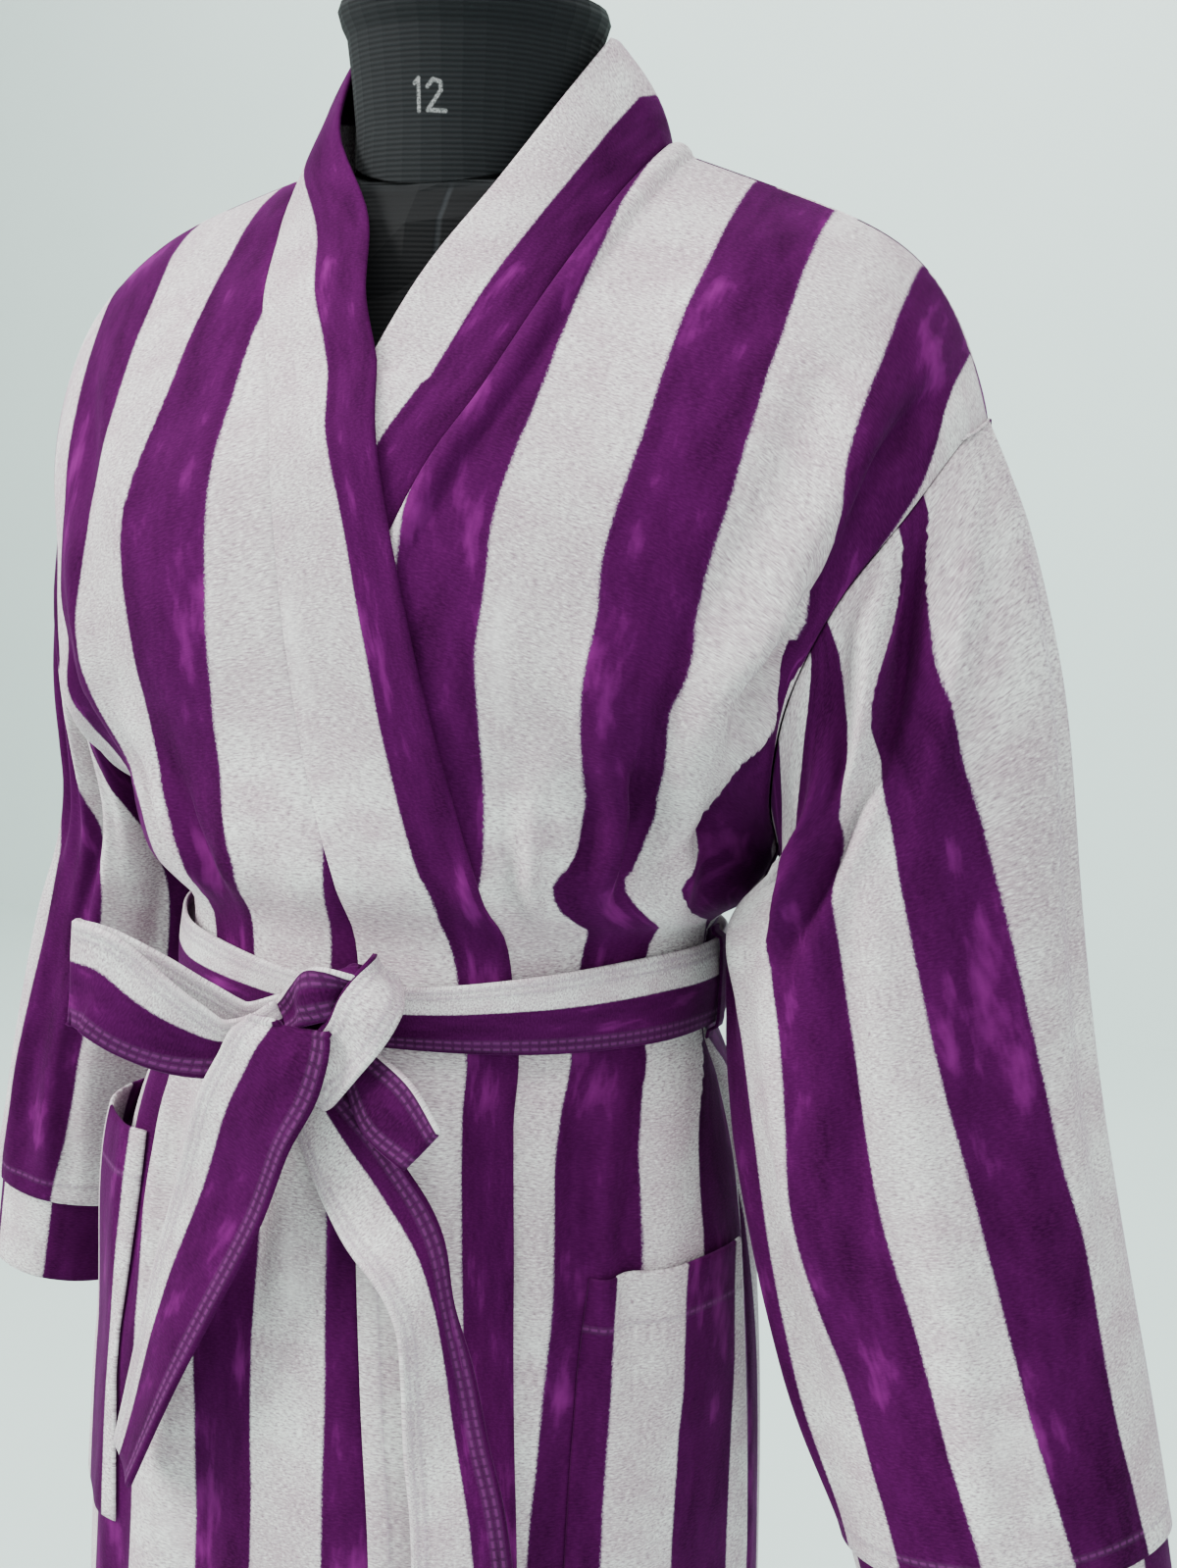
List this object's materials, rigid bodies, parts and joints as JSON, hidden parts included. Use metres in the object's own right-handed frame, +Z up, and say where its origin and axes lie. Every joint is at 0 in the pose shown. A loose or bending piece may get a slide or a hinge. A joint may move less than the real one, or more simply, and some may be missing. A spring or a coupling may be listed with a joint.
{
  "type": "kimono robe on dress form",
  "caption": "Wrap robe with band collar, wide sleeves with turned cuffs, patch pockets and a tied belt, hung on a covered dress form with a round foot",
  "frame": {"origin": "centre of the foot's flat underside, on the floor", "axes": "+Z up, -Y the way the robe's front faces, +X the wearer's left"},
  "size_m": [0.6552, 0.38, 1.5283],
  "materials": {
    "velvet": "cotton velvet in even lengthwise stripes of purple and heathered off-white",
    "form_cover": "black ribbed jersey",
    "cap_metal": "polished",
    "pole_metal": "brushed",
    "foot_iron": "black enamel"
  },
  "bodies": {
    "root": {"back": "velvet", "front_left": "velvet", "front_right": "velvet", "neckband_left": "velvet", "neckband_right": "velvet", "sleeve_left": "velvet", "sleeve_right": "velvet", "cuff_left": "velvet", "cuff_right": "velvet", "pocket_left": "velvet", "pocket_right": "velvet", "belt_waist": "velvet", "belt_knot": "velvet", "belt_bow": "velvet", "belt_tail_long": "velvet", "belt_tail_under": "velvet", "belt_end_short": "velvet", "form_torso": "form_cover", "form_neck": "form_cover", "form_cap": "cap_metal", "stand_pole": "pole_metal", "stand_base": "foot_iron", "belt_loop_left": "velvet", "belt_loop_right": "velvet"}
  },
  "joints": []
}
